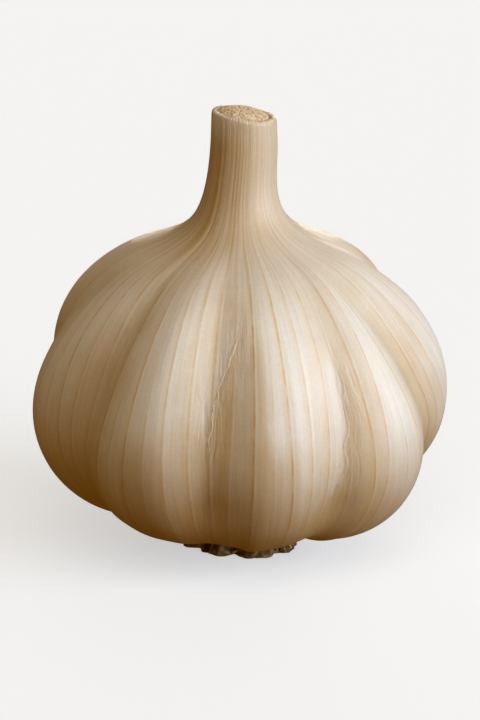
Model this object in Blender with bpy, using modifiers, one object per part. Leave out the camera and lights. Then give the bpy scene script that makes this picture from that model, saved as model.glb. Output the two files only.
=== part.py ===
"""Garlic bulb, dried and trimmed, in three pieces.

bulb        the papery skin drawn over the cloves, with the neck it narrows into
stalk_core  the dry end of the flower stalk, in the neck where it was cut
root_plate  the corky plate under the cloves, with its trimmed roots

Units are metres, +Z runs up the neck and -Y is the front. The origin is the
centre of the flat spot on the root plate that the bulb rests on.
"""

import math
import random

import bmesh
import bpy
from mathutils import Matrix, Vector
from mathutils.geometry import interpolate_bezier

MM = 0.001

# Driving dimensions
BULB_RADIUS = 30.0 * MM
WIDEST_HEIGHT = 22.0 * MM
SHOULDER_RADIUS = 14.5 * MM
SHOULDER_HEIGHT = 44.9 * MM
SHOULDER_SLOPE = math.radians(19.0)
NECK_FOOT_RADIUS = 4.9 * MM
NECK_FOOT_HEIGHT = 57.0 * MM
NECK_RADIUS = 4.65 * MM
NECK_HEIGHT = 64.3 * MM
NECK_SHIFT = 0.6 * MM
CUT_SLOPE = math.radians(7.5)
LIP_RADIUS = 13.0 * MM
LIP_HEIGHT = 4.0 * MM
DIMPLE_HEIGHT = 5.6 * MM

SHEATH_THICKNESS = 0.9 * MM
POCKET_DEPTH = 13.0 * MM
GAP = 0.3 * MM

REST_RADIUS = 4.2 * MM
PLATE_RADIUS = 7.4 * MM
PLATE_RIM_HEIGHT = 3.0 * MM
PLATE_TOP_HEIGHT = 5.2 * MM
ROOT_RADIUS = 0.75 * MM
ROOT_SIDES = 7
# One row a ring of roots: radius where they leave the plate, how many, outward tilt
ROOT_RINGS = (
    (5.0 * MM, 11, math.radians(12.0)),
    (6.5 * MM, 16, math.radians(28.0)),
)
ROOT_SEED = 4

TURN_STEPS = 96
STALK_STEPS = 32
PLATE_STEPS = 32
MERGE_DISTANCE = 0.00001

# One row a clove, going round from the left towards the front and +X:
#   azimuth of the crease before it at the widest height, in degrees from the front
#   lean of that crease, in degrees for each millimetre of height
#   depth of that crease, and the share of it that is left near the foot
#   how far the clove swells past the turned outline
#   how far its crown leans away from that crease, 1 for not at all
#   how much more it swells for each 10 mm below the widest height
#   how many degrees further that crease turns round the shoulder
CLOVES = (
    (-107.0, 1.8, 1.6 * MM, 1.0, 0.4 * MM, 1.0, 0.45 * MM, 0.0),
    (-51.5, 0.62, 2.0 * MM, 1.0, 0.2 * MM, 1.1, -0.15 * MM, 0.0),
    (-10.0, 0.15, 2.5 * MM, 0.2, 0.2 * MM, 1.2, 0.05 * MM, 0.0),
    (30.5, 0.05, 1.9 * MM, 0.3, 0.5 * MM, 1.0, 0.4 * MM, 0.0),
    (70.5, -1.1, 2.3 * MM, 1.0, 0.45 * MM, 1.0, 0.2 * MM, 0.0),
    (120.0, -0.8, 4.2 * MM, 1.0, -1.3 * MM, 1.0, 0.0, -10.0),
    (163.0, 0.0, 2.2 * MM, 1.0, 0.0, 1.0, 0.0, 0.0),
    (206.0, 0.3, 2.2 * MM, 1.0, 0.5 * MM, 1.0, 0.0, 0.0),
)
# How round the creases are: a lower value gives sharper ones
CREASE_WIDTH = 0.22
# Radii and heights over which the creases fade into the foot and into the neck
FOOT_FADE = (5.0 * MM, 13.0 * MM)
NECK_FADE = (48.0 * MM, 36.5 * MM)
SHOULDER_FADE = (42.0 * MM, 26.0 * MM)
SHOULDER_RELIEF = 0.55
SHALLOW_HEIGHTS = (4.0 * MM, 13.0 * MM)
TURN_HEIGHTS = (36.0 * MM, 44.0 * MM)


def smooth_step(start, end, value):
    """0 at start and beyond it, 1 at end and beyond it, smooth between."""
    share = (value - start) / (end - start)
    share = min(max(share, 0.0), 1.0)
    return share * share * (3.0 - 2.0 * share)


# ---------------------------------------------------------------- scene

def clear_scene():
    for obj in list(bpy.data.objects):
        bpy.data.objects.remove(obj, do_unlink=True)


def new_collection(name):
    collection = bpy.data.collections.new(name)
    bpy.context.scene.collection.children.link(collection)
    return collection


def new_material(name, colour, roughness):
    material = bpy.data.materials.new(name)
    material.use_nodes = True
    shader = material.node_tree.nodes["Principled BSDF"]
    shader.inputs["Base Color"].default_value = (*colour, 1.0)
    shader.inputs["Roughness"].default_value = roughness
    shader.inputs["Metallic"].default_value = 0.0
    return material


def new_object(name, mesh, collection):
    obj = bpy.data.objects.new(name, mesh)
    collection.objects.link(obj)
    return obj


# ---------------------------------------------------------------- tools

def turned_object(name, profile, steps, collection):
    """An object with a Screw modifier that turns (radius, height) points about Z."""
    mesh = bpy.data.meshes.new(name)
    points = [(radius, 0.0, height) for radius, height in profile]
    edges = [(i, i + 1) for i in range(len(points) - 1)]
    mesh.from_pydata(points, edges, [])
    obj = new_object(name, mesh, collection)
    screw = obj.modifiers.new("turn", "SCREW")
    screw.axis = "Z"
    screw.angle = math.tau
    screw.steps = steps
    screw.render_steps = steps
    screw.use_merge_vertices = True
    screw.merge_threshold = MERGE_DISTANCE
    return obj


def apply_modifiers(obj):
    """Replace the object's mesh with its evaluated one."""
    graph = bpy.context.evaluated_depsgraph_get()
    mesh = bpy.data.meshes.new_from_object(obj.evaluated_get(graph))
    obj.modifiers.clear()
    obj.data = mesh


def add_boolean(obj, other, operation):
    boolean = obj.modifiers.new(other.name, "BOOLEAN")
    boolean.operation = operation
    boolean.solver = "EXACT"
    boolean.object = other


def finish_surface(obj, material):
    obj.data.materials.clear()
    obj.data.materials.append(material)
    obj.data.shade_smooth()
    obj.data.set_sharp_from_angle(angle=math.radians(50.0))


def box_cutter(name, size, place, collection):
    mesh = bpy.data.meshes.new(name)
    shape = bmesh.new()
    bmesh.ops.create_cube(shape, size=size, matrix=place)
    shape.to_mesh(mesh)
    shape.free()
    cutter = new_object(name, mesh, collection)
    cutter.hide_render = True
    cutter.display_type = "WIRE"
    return cutter


def neck_centre(height):
    """How far the neck's middle is shifted towards +X at a height."""
    return NECK_SHIFT * smooth_step(50.0 * MM, 61.0 * MM, height)


def shift_neck(mesh):
    for vertex in mesh.vertices:
        vertex.co.x += neck_centre(vertex.co.z)


# ---------------------------------------------------------------- bulb

def curve_through(knots):
    """Points along a curve: a knot is (point, handle before, handle after, points after)."""
    points = []
    for first, second in zip(knots, knots[1:]):
        count = first[3]
        points += interpolate_bezier(first[0], first[2], second[1], second[0], count + 1)[:-1]
    points.append(knots[-1][0].to_3d())
    return [(point.x, point.y) for point in points]


def skin_outline():
    """The skin's outer side as (radius, height), from the top of the neck to the dimple."""
    neck_top = Vector((NECK_RADIUS, NECK_HEIGHT + 2.0 * MM))
    neck_foot = Vector((NECK_FOOT_RADIUS, NECK_FOOT_HEIGHT))
    shoulder = Vector((SHOULDER_RADIUS, SHOULDER_HEIGHT))
    widest = Vector((BULB_RADIUS, WIDEST_HEIGHT))
    lip = Vector((LIP_RADIUS, LIP_HEIGHT))
    dimple = Vector((0.0, DIMPLE_HEIGHT))
    down_neck = (neck_foot - neck_top).normalized()
    down_shoulder = Vector((math.cos(SHOULDER_SLOPE), -math.sin(SHOULDER_SLOPE)))
    knots = (
        (neck_top, neck_top, neck_top + down_neck * 3.0 * MM, 4),
        (neck_foot, neck_foot - down_neck * 3.0 * MM, neck_foot + down_neck * 8.4 * MM, 9),
        (shoulder, shoulder - down_shoulder * 7.4 * MM, shoulder + down_shoulder * 9.5 * MM, 14),
        (widest, widest + Vector((0.0, 10.4 * MM)), widest - Vector((0.0, 9.4 * MM)), 13),
        (lip, lip + Vector((10.5 * MM, 0.0)), lip - Vector((4.0 * MM, 0.0)), 5),
        (dimple, dimple + Vector((5.0 * MM, 0.0)), dimple, 0),
    )
    return curve_through(knots)


def clove_relief(azimuth, radius, height):
    """How far the skin stands out from the turned outline, in metres."""
    fade = smooth_step(*NECK_FADE, height) * smooth_step(*FOOT_FADE, radius)
    fade *= SHOULDER_RELIEF + (1.0 - SHOULDER_RELIEF) * smooth_step(*SHOULDER_FADE, height)
    above = (height - WIDEST_HEIGHT) / MM
    up_foot = smooth_step(*SHALLOW_HEIGHTS, height)
    up_shoulder = smooth_step(*TURN_HEIGHTS, height)
    for clove, following in zip(CLOVES, CLOVES[1:] + CLOVES[:1]):
        start = clove[0] + clove[1] * above + clove[7] * up_shoulder
        width = (following[0] + following[1] * above + following[7] * up_shoulder - start) % 360.0
        share = ((azimuth - start) % 360.0) / width
        if share >= 1.0:
            continue
        across = math.sin(math.pi * share ** clove[5])
        crown = math.hypot(across, CREASE_WIDTH) - CREASE_WIDTH
        crown /= math.hypot(1.0, CREASE_WIDTH) - CREASE_WIDTH
        before = clove[2] * (clove[3] + (1.0 - clove[3]) * up_foot)
        after = following[2] * (following[3] + (1.0 - following[3]) * up_foot)
        depth = before * (1.0 - share) + after * share
        swell = clove[4] - clove[6] * above / 10.0
        return (swell * crown - depth * (1.0 - crown)) * fade
    return 0.0


def make_bulb(collection, cutters):
    """The cloves in their skin, with a pocket in the neck for the stalk."""
    pocket_radius = NECK_RADIUS - SHEATH_THICKNESS
    pocket_floor = NECK_HEIGHT - POCKET_DEPTH
    outline = skin_outline()
    pocket = [
        (0.0, pocket_floor),
        (pocket_radius, pocket_floor),
        (pocket_radius, outline[0][1]),
    ]
    bulb = turned_object("bulb", pocket + outline, TURN_STEPS, collection)
    apply_modifiers(bulb)
    moved = []
    for vertex in bulb.data.vertices:
        azimuth = math.degrees(math.atan2(vertex.co.x, -vertex.co.y))
        radius = math.hypot(vertex.co.x, vertex.co.y)
        moved.append(vertex.co + vertex.normal * clove_relief(azimuth, radius, vertex.co.z))
    for vertex, place in zip(bulb.data.vertices, moved):
        vertex.co = place
    shift_neck(bulb.data)
    add_boolean(bulb, cutters["neck"], "DIFFERENCE")
    finish_surface(bulb, new_material("papery_skin", (0.74, 0.63, 0.49), 0.5))
    return bulb


# ---------------------------------------------------------------- stalk core

def make_stalk_core(collection, cutters):
    """The dry stalk's end, clear of the pocket all round."""
    radius = NECK_RADIUS - SHEATH_THICKNESS - GAP
    floor = NECK_HEIGHT - POCKET_DEPTH + GAP
    top = NECK_HEIGHT + 2.0 * MM
    taper = 0.25 * MM
    profile = [
        (0.0, top),
        (radius, top),
        (radius, floor + taper),
        (radius - taper, floor),
        (0.0, floor),
    ]
    core = turned_object("stalk_core", profile, STALK_STEPS, collection)
    apply_modifiers(core)
    shift_neck(core.data)
    add_boolean(core, cutters["neck"], "DIFFERENCE")
    finish_surface(core, new_material("dry_stalk", (0.50, 0.36, 0.22), 0.8))
    return core


# ---------------------------------------------------------------- root plate

def plate_profile():
    """The corky plate as (radius, height), from its top to its flat rest face."""
    return [
        (0.0, PLATE_TOP_HEIGHT),
        (PLATE_RADIUS * 0.62, PLATE_TOP_HEIGHT - 0.15 * MM),
        (PLATE_RADIUS * 0.92, PLATE_TOP_HEIGHT - 0.75 * MM),
        (PLATE_RADIUS, PLATE_RIM_HEIGHT + 0.5 * MM),
        (PLATE_RADIUS * 0.98, PLATE_RIM_HEIGHT),
        (PLATE_RADIUS * 0.8, PLATE_RIM_HEIGHT - 1.1 * MM),
        (REST_RADIUS + 0.5 * MM, 0.6 * MM),
        (REST_RADIUS, 0.0),
        (0.0, 0.0),
    ]


def make_root_stubs(collection):
    """The trimmed roots: cones that lean outward, in rings, with no two touching."""
    rng = random.Random(ROOT_SEED)
    shape = bmesh.new()
    for ring_radius, count, tilt in ROOT_RINGS:
        for i in range(count):
            turn = math.tau * (i + rng.uniform(-0.12, 0.12)) / count
            length = rng.uniform(4.2, 5.0) * MM
            lean = Matrix.Rotation(tilt * rng.uniform(0.8, 1.2), 4, "Y")
            out = Matrix.Rotation(turn, 4, "Z") @ Matrix.Translation((ring_radius, 0.0, 2.9 * MM))
            place = out @ lean.inverted() @ Matrix.Translation((0.0, 0.0, -0.32 * length))
            bmesh.ops.create_cone(
                shape,
                cap_ends=True,
                segments=ROOT_SIDES,
                radius1=ROOT_RADIUS * rng.uniform(0.6, 0.85),
                radius2=ROOT_RADIUS,
                depth=length * rng.uniform(0.85, 1.0),
                matrix=place,
            )
    mesh = bpy.data.meshes.new("root_stubs")
    shape.to_mesh(mesh)
    shape.free()
    stubs = new_object("root_stubs", mesh, collection)
    stubs.hide_render = True
    stubs.display_type = "WIRE"
    return stubs


def make_root_plate(collection, cutters):
    """The plate and its roots as one piece, cut level where it rests."""
    plate = turned_object("root_plate", plate_profile(), PLATE_STEPS, collection)
    apply_modifiers(plate)
    add_boolean(plate, cutters["roots"], "UNION")
    add_boolean(plate, cutters["ground"], "DIFFERENCE")
    finish_surface(plate, new_material("corky_root", (0.16, 0.10, 0.06), 0.9))
    return plate


def make_cutters(collection):
    """What trims the neck and the roots, and the roots that join the plate."""
    size = 40.0 * MM
    slope = Matrix.Rotation(CUT_SLOPE, 4, "Y")
    above_cut = Matrix.Translation((NECK_SHIFT, 0.0, NECK_HEIGHT))
    above_cut = above_cut @ slope @ Matrix.Translation((0.0, 0.0, size / 2))
    below_ground = Matrix.Translation((0.0, 0.0, -size / 2))
    return {
        "neck": box_cutter("neck_cutter", size, above_cut, collection),
        "ground": box_cutter("ground_cutter", size, below_ground, collection),
        "roots": make_root_stubs(collection),
    }


def main():
    clear_scene()
    garlic = new_collection("garlic_bulb")
    cutters = make_cutters(new_collection("cutters"))
    make_bulb(garlic, cutters)
    make_stalk_core(garlic, cutters)
    make_root_plate(garlic, cutters)


main()
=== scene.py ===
"""The looks of the garlic bulb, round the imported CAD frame.

papery_skin   the cloves' skin and the neck, with its veins, pleats and creases
torn_edges    loose, torn edges of the outermost skin along two creases
stalk_end     the dry stalk in the cut neck
root_tuft     the corky plate with its trimmed roots

Metres, +Z up the neck, -Y to the front. Azimuths are in degrees from the front
towards +X. Everything is fixed to the one body, "root".
"""

import math
from collections import namedtuple

import bmesh
import bpy
import numpy as np
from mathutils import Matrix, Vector, noise


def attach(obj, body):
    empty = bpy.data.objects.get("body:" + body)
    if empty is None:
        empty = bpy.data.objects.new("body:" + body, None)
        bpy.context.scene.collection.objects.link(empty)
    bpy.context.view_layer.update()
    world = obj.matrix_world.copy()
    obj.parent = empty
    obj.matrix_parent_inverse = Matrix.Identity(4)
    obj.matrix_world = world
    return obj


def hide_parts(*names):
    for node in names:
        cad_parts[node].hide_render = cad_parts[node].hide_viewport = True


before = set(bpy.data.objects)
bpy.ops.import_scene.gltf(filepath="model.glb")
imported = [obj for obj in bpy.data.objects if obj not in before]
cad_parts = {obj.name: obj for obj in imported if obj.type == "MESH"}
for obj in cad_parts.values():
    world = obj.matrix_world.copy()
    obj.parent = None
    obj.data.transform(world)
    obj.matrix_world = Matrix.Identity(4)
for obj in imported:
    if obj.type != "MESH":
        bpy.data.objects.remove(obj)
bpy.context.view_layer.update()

MM = 0.001

# The CAD's driving dimensions, repeated here
BULB_RADIUS = 30.0 * MM
WIDEST_HEIGHT = 22.0 * MM
SHOULDER_RADIUS = 14.5 * MM
SHOULDER_HEIGHT = 44.9 * MM
SHOULDER_SLOPE = math.radians(19.0)
NECK_FOOT_RADIUS = 4.9 * MM
NECK_FOOT_HEIGHT = 57.0 * MM
NECK_RADIUS = 4.65 * MM
NECK_HEIGHT = 64.3 * MM
NECK_SHIFT = 0.6 * MM
NECK_SHIFT_HEIGHTS = (50.0 * MM, 61.0 * MM)
CUT_SLOPE = math.radians(7.5)
LIP_RADIUS = 13.0 * MM
LIP_HEIGHT = 4.0 * MM
DIMPLE_HEIGHT = 5.6 * MM
POCKET_DEPTH = 13.0 * MM
POCKET_RINGS = (POCKET_DEPTH, 6.0 * MM, 2.0 * MM)
RIM_THICKNESS = 0.8 * MM
RIM_INNER_DROP = 0.15 * MM
RIM_OUTER_DROP = 0.5 * MM
RIM_ROWS = 13
RIM_FRESH_DEPTH = 0.8 * MM
RIM_UNEVEN = 0.012
CUT_WAVES = 0.04 * MM
CUT_FRAY = 0.035 * MM
PLATE_RADIUS = 7.4 * MM
PLATE_TOP_HEIGHT = 5.2 * MM

# How far the outline's curves run straight on, before and after each of its points
NECK_HANDLE = 3.0 * MM
NECK_FOOT_HANDLE = 8.4 * MM
SHOULDER_HANDLES = (7.4 * MM, 9.5 * MM)
WIDEST_HANDLES = (10.4 * MM, 9.4 * MM)
LIP_HANDLES = (10.5 * MM, 4.0 * MM)
DIMPLE_HANDLE = 5.0 * MM

# One row a clove, going round from the left towards the front and +X:
#   azimuth: of the crease before it, at the widest height
#   lean: of that crease, in degrees for each millimetre of height
#   depth: of that crease
#   foot_share: the share of that depth that is left near the foot
#   swell: how far the clove swells past the turned outline
#   skew: how far its crown leans away from that crease, 1 for not at all
#   droop: how much more it swells for each 10 mm below the widest height
#   turn: how many degrees further that crease turns round the shoulder
Clove = namedtuple("Clove", "azimuth lean depth foot_share swell skew droop turn")
CLOVES = (
    Clove(-107.0, 1.8, 1.6 * MM, 1.0, 0.4 * MM, 1.0, 0.45 * MM, 0.0),
    Clove(-51.5, 0.62, 2.0 * MM, 1.0, 0.2 * MM, 1.1, -0.15 * MM, 0.0),
    Clove(-10.0, 0.15, 2.5 * MM, 0.2, 0.2 * MM, 1.2, 0.05 * MM, 0.0),
    Clove(30.5, 0.05, 1.9 * MM, 0.3, 0.5 * MM, 1.0, 0.4 * MM, 0.0),
    Clove(70.5, -1.1, 2.3 * MM, 1.0, 0.45 * MM, 1.0, 0.2 * MM, 0.0),
    Clove(120.0, -0.8, 4.2 * MM, 1.0, -1.3 * MM, 1.0, 0.0, -10.0),
    Clove(163.0, 0.0, 2.2 * MM, 1.0, 0.0, 1.0, 0.0, 0.0),
    Clove(206.0, 0.3, 2.2 * MM, 1.0, 0.5 * MM, 1.0, 0.0, 0.0),
)
CREASE_WIDTH = 0.22
FOOT_FADE = (5.0 * MM, 13.0 * MM)
NECK_FADE = (48.0 * MM, 36.5 * MM)
SHOULDER_FADE = (42.0 * MM, 26.0 * MM)
SHOULDER_RELIEF = 0.55
SHALLOW_HEIGHTS = (4.0 * MM, 13.0 * MM)
TURN_HEIGHTS = (36.0 * MM, 44.0 * MM)

# Long low ridges on the cloves: azimuth, lean, height and half width in degrees
CLOVE_RIDGES = (
    (5.5, 0.05, 0.30 * MM, 4.0),
    (36.5, -0.3, 0.30 * MM, 3.5),
    (-43.0, 0.5, 0.16 * MM, 3.5),
    (84.0, -1.2, 0.18 * MM, 4.0),
    (-22.0, 0.1, 0.25 * MM, 6.0),
)

# The veins that stand out: azimuth at the widest height, lean, strength 0 to 1, and how
# tan the skin between it and the next vein is, 0 to 1
VEINS = (
    (-101.0, 0.9, 0.4, 0.5), (-93.0, 0.8, 0.5, 0.3), (-85.0, 0.7, 0.5, 0.6),
    (-77.0, 0.6, 0.6, 0.3), (-69.0, 0.45, 0.5, 0.35), (-62.5, 0.3, 0.8, 0.3),
    (-57.3, 0.4, 0.6, 0.6), (-50.5, 0.4, 0.6, 0.5), (-43.0, 0.5, 1.0, 0.5),
    (-38.0, 0.4, 0.4, 0.6), (-32.5, 0.3, 0.9, 0.5), (-27.0, 0.2, 0.3, 0.6),
    (-21.5, 0.1, 0.7, 0.5), (-15.0, 0.06, 0.6, 0.1), (-9.0, 0.07, 0.7, 1.0),
    (-3.0, 0.1, 0.5, 0.7), (3.7, 0.05, 1.0, 0.9), (9.0, 0.0, 0.25, 0.15),
    (13.9, -0.1, 1.0, 0.35), (19.8, -0.1, 0.6, 0.5), (25.8, -0.05, 0.6, 0.2),
    (32.5, -0.2, 0.3, 0.5), (39.3, -0.3, 0.9, 0.4), (43.7, -0.25, 0.7, 0.5),
    (50.0, -0.5, 0.35, 0.6), (57.0, -0.8, 0.8, 0.5), (65.0, -1.0, 0.3, 0.6),
    (75.5, -1.25, 0.7, 0.5), (80.0, -1.25, 0.35, 0.6), (85.0, -1.3, 0.6, 0.4),
    (93.0, -1.3, 0.5, 0.6), (101.0, -1.2, 0.5, 0.4),
)

# The rest of the veins, round the back, with the lean at some azimuths there
BACK_VEINS = 20
BACK_LEANS = ((101.0, -1.2), (118.0, -0.7), (162.0, 0.0), (206.0, 0.3), (259.0, 0.9))
LEAN_REACH = 22.0
VEIN_SEED = 11

# The skin's grid and its fine relief. The column gap and the ridge's width are in degrees,
# and NO_VEIN is the distance in mm to the nearest vein where there is none.
OUTLINE_ROWS = 178
FRONT_COLUMNS = 9
BACK_COLUMNS = 6
VEIN_COLUMN_GAP = 0.45
SKIN_START = 0.6 * MM
NO_VEIN = 5.0
VEIN_RIDGE = 0.014 * MM
VEIN_RIDGE_WIDTH = 0.3
PANEL_RELIEF = 0.018 * MM
PLEAT_RELIEF = 0.010 * MM
VEIN_RADII = (9.0 * MM, 22.0 * MM)
VEIN_HEIGHTS = (4.0 * MM, 18.0 * MM)
VEIN_AT_FOOT = 0.35
PLEAT_RADII = (22.0 * MM, 7.0 * MM)
PLEAT_HEIGHTS = (38.0 * MM, 45.0 * MM)

# Azimuths: the neck's browner side, whose extra brown is painted shade away from the key lamp,
# how far back that side turns below the neck, its paler side near the cut, and the clove whose
# top is brown with painted shade
NECK_SHADE_SIDE = -85.0
NECK_SHADE_TURN = 22.0
PALE_CUT_SIDE = -65.0
SHADED_CLOVE = 126.0

# Where those, the foot and the painted highlight beside a tear fade in
NECK_SHADE_TURN_HEIGHTS = (51.0 * MM, 45.0 * MM)
NECK_BROWN_RADII = (30.0 * MM, 6.5 * MM)
NECK_BROWN_HEIGHTS = (34.0 * MM, 47.0 * MM)
NECK_PLAIN_RADII = (13.0 * MM, 7.0 * MM)
PALE_CUT_HEIGHTS = (59.0 * MM, 64.0 * MM)
SHADED_CLOVE_HEIGHTS = (33.0 * MM, 42.0 * MM)
FOOT_HEIGHTS = (27.0 * MM, 3.0 * MM)
TEAR_HIGHLIGHT_HEIGHTS = (21.0 * MM, 30.0 * MM)
TEAR_HIGHLIGHT_AZIMUTHS = (10.0, 20.0)

# Torn edges of the outer skin: (azimuth, height in mm) along each one, from the top down
TORN_EDGES = (
    ((0.5, 39.5), (-3.0, 36.0), (-6.4, 31.8), (-7.8, 29.0), (-8.8, 25.0), (-9.3, 21.5)),
    ((31.0, 34.5), (32.6, 31.5), (32.0, 28.6), (32.6, 25.0), (31.2, 22.2), (32.4, 18.8), (29.2, 13.0)),
)
# In degrees from a torn edge: how far the skin is wrinkled, a painted highlight on the left and
# golden painted shade on the right, and how soft the line between is
WRINKLE_REACH = 5.0
TEAR_HIGHLIGHT_REACH = 7.0
TEAR_SHADE_REACH = 4.5
TEAR_EDGE = 1.2

# Golden bands down the cloves, partly the skin's own tone and partly painted shade on flanks
# turned away from the key lamp: azimuth, lean, half width in degrees, strength 0 to 1 and the
# height above which the band fades
GOLDEN_AND_SHADED_BANDS = (
    (-28.0, 0.1, 9.0, 0.85, 22.0 * MM),
    (-4.6, 0.15, 1.7, 0.8, 30.0 * MM),
    (6.6, 0.0, 1.5, 0.55, 35.0 * MM),
    (9.0, 0.0, 8.0, 0.7, 22.0 * MM),
    (15.0, -0.1, 1.2, 0.3, 33.0 * MM),
    (38.5, -0.2, 1.9, 0.5, 27.0 * MM),
)
BAND_FADE = 6.0 * MM

# Camera
VIEW_ELEVATION = math.radians(17.0)
VIEW_DISTANCE = 0.52
VIEW_CENTRE = Vector((0.0, -1.3 * MM, 27.8 * MM))
LENS = 178.6

# Sun lamps: name, azimuth, elevation, strength, spread in degrees, colour
LAMPS = (
    ("key", 65.0, 10.0, 3.45, 50.0, (0.80, 0.885, 1.0)),
    ("fill", 9.0, 48.0, 1.0, 60.0, (1.0, 0.93, 0.80)),
    ("back", 172.0, 38.0, 0.3, 60.0, (1.0, 0.9, 0.78)),
    ("rear", 179.0, 0.0, 0.7, 15.0, (1.0, 0.93, 0.84)),
)

# The dim light from all round: share of the way from straight down to straight up, colour
WORLD_COLOURS = (
    (0.25, (0.16, 0.072, 0.005)),
    (0.52, (0.195, 0.105, 0.014)),
    (1.0, (0.10, 0.06, 0.02)),
)
SURROUND = (0.95, 0.95, 0.95, 1.0)
FLOOR_RADIUS = 6.0
FLOOR_COLOUR = (0.60, 0.62, 0.66, 1.0)
FLOOR_GLOW = (0.95, 0.98, 1.0, 1.0)
FLOOR_GLOW_STRENGTH = 0.56


def smooth_step(start, end, value):
    """0 at start and beyond it, 1 at end and beyond it, smooth between."""
    share = np.clip((value - start) / (end - start), 0.0, 1.0)
    return share * share * (3.0 - 2.0 * share)


def hump(distance, width):
    """1 at no distance, fading to 0 over about twice the width."""
    return np.exp(-((distance / width) ** 2))


def waves(azimuth, low, high, count, seed):
    """A smooth closed random wave round the bulb, about -1 to 1."""
    rng = np.random.default_rng(seed)
    total = np.zeros_like(azimuth)
    for _ in range(count):
        turns = rng.integers(low, high)
        total += np.cos(np.radians(azimuth) * turns + rng.uniform(0, math.tau))
    return total / math.sqrt(count / 2)


# ---- the skin's shape

def bezier(points, count):
    """Points along a cubic curve, its end left out."""
    t = np.linspace(0.0, 1.0, count, endpoint=False)[:, None]
    a, b, c, d = (np.array(p) for p in points)
    return a * (1 - t) ** 3 + 3 * b * t * (1 - t) ** 2 + 3 * c * t * t * (1 - t) + d * t**3


def turned_outline():
    """The skin's outer side from the neck's top to the dimple: the length along it, and
    the radius, the height and the outward normal at that length."""
    neck_top = np.array((NECK_RADIUS, NECK_HEIGHT))
    neck_foot = np.array((NECK_FOOT_RADIUS, NECK_FOOT_HEIGHT))
    shoulder = np.array((SHOULDER_RADIUS, SHOULDER_HEIGHT))
    widest = np.array((BULB_RADIUS, WIDEST_HEIGHT))
    lip = np.array((LIP_RADIUS, LIP_HEIGHT))
    dimple = np.array((0.0, DIMPLE_HEIGHT))
    down_neck = (neck_foot - neck_top) / np.linalg.norm(neck_foot - neck_top)
    down_shoulder = np.array((math.cos(SHOULDER_SLOPE), -math.sin(SHOULDER_SLOPE)))
    across = np.array((1.0, 0.0))
    up = np.array((0.0, 1.0))
    into_shoulder = shoulder - SHOULDER_HANDLES[0] * down_shoulder
    out_of_shoulder = shoulder + SHOULDER_HANDLES[1] * down_shoulder
    from_neck = neck_top + NECK_HANDLE * down_neck
    into_neck_foot = neck_foot - NECK_HANDLE * down_neck
    curves = (
        (neck_top, from_neck, into_neck_foot, neck_foot),
        (neck_foot, neck_foot + NECK_FOOT_HANDLE * down_neck, into_shoulder, shoulder),
        (shoulder, out_of_shoulder, widest + WIDEST_HANDLES[0] * up, widest),
        (widest, widest - WIDEST_HANDLES[1] * up, lip + LIP_HANDLES[0] * across, lip),
        (lip, lip - LIP_HANDLES[1] * across, dimple + DIMPLE_HANDLE * across, dimple),
    )
    points = np.vstack([bezier(curve, 200) for curve in curves] + [dimple[None]])
    steps = np.linalg.norm(np.diff(points, axis=0), axis=1)
    length = np.concatenate([[0.0], np.cumsum(steps)])
    slope = np.gradient(points, axis=0) / np.gradient(length)[:, None]
    slope /= np.linalg.norm(slope, axis=1)[:, None]
    return length, points[:, 0], points[:, 1], -slope[:, 1], slope[:, 0]


OUTLINE = turned_outline()
OUTLINE_LENGTH = OUTLINE[0][-1]


def outline_at(length):
    """Radius, height and the outward normal's two parts at lengths along the outline."""
    return [np.interp(length, OUTLINE[0], values) for values in OUTLINE[1:]]


def length_at_height(height):
    """The length along the outline at a height between the lip and the neck's top."""
    to_lip = int(np.argmin(OUTLINE[2])) + 1
    return np.interp(-height, -OUTLINE[2][:to_lip], OUTLINE[0][:to_lip])


def clove_relief(azimuth, radius, height):
    """How far the skin stands out from the turned outline, and 0 to 1 how deep in a
    crease it is."""
    fade = smooth_step(*NECK_FADE, height) * smooth_step(*FOOT_FADE, radius)
    fade = fade * (SHOULDER_RELIEF + (1 - SHOULDER_RELIEF) * smooth_step(*SHOULDER_FADE, height))
    above = (height - WIDEST_HEIGHT) / MM
    up_foot = smooth_step(*SHALLOW_HEIGHTS, height)
    up_shoulder = smooth_step(*TURN_HEIGHTS, height)
    relief = np.zeros_like(azimuth)
    crease = np.zeros_like(azimuth)
    for clove, following in zip(CLOVES, CLOVES[1:] + CLOVES[:1]):
        start = clove.azimuth + clove.lean * above + clove.turn * up_shoulder
        end = following.azimuth + following.lean * above + following.turn * up_shoulder
        share = ((azimuth - start) % 360.0) / ((end - start) % 360.0)
        inside = share < 1.0
        across = np.sin(np.pi * np.where(inside, share, 0.5) ** clove.skew)
        crown = np.hypot(across, CREASE_WIDTH) - CREASE_WIDTH
        crown = crown / (math.hypot(1.0, CREASE_WIDTH) - CREASE_WIDTH)
        before = clove.depth * (clove.foot_share + (1 - clove.foot_share) * up_foot)
        after = following.depth * (following.foot_share + (1 - following.foot_share) * up_foot)
        depth = before * (1 - share) + after * share
        swell = clove.swell - clove.droop * above / 10.0
        relief = np.where(inside, (swell * crown - depth * (1 - crown)) * fade, relief)
        crease = np.where(inside, (1 - crown) * fade, crease)
    for middle, lean, rise, half_width in CLOVE_RIDGES:
        away = (azimuth - middle - lean * above + 180.0) % 360.0 - 180.0
        relief = relief + rise * hump(away, half_width) * fade
    return relief, crease


def neck_centre(height):
    """How far the neck's middle is towards +X at a height."""
    return NECK_SHIFT * smooth_step(*NECK_SHIFT_HEIGHTS, height)


def cut_height(x, azimuth):
    """Height of the sloping, slightly ragged cut across the neck."""
    ragged = CUT_WAVES * waves(azimuth, 2, 9, 6, 5) + CUT_FRAY * waves(azimuth, 30, 90, 14, 6)
    return NECK_HEIGHT - math.tan(CUT_SLOPE) * (x - NECK_SHIFT) + ragged


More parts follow.
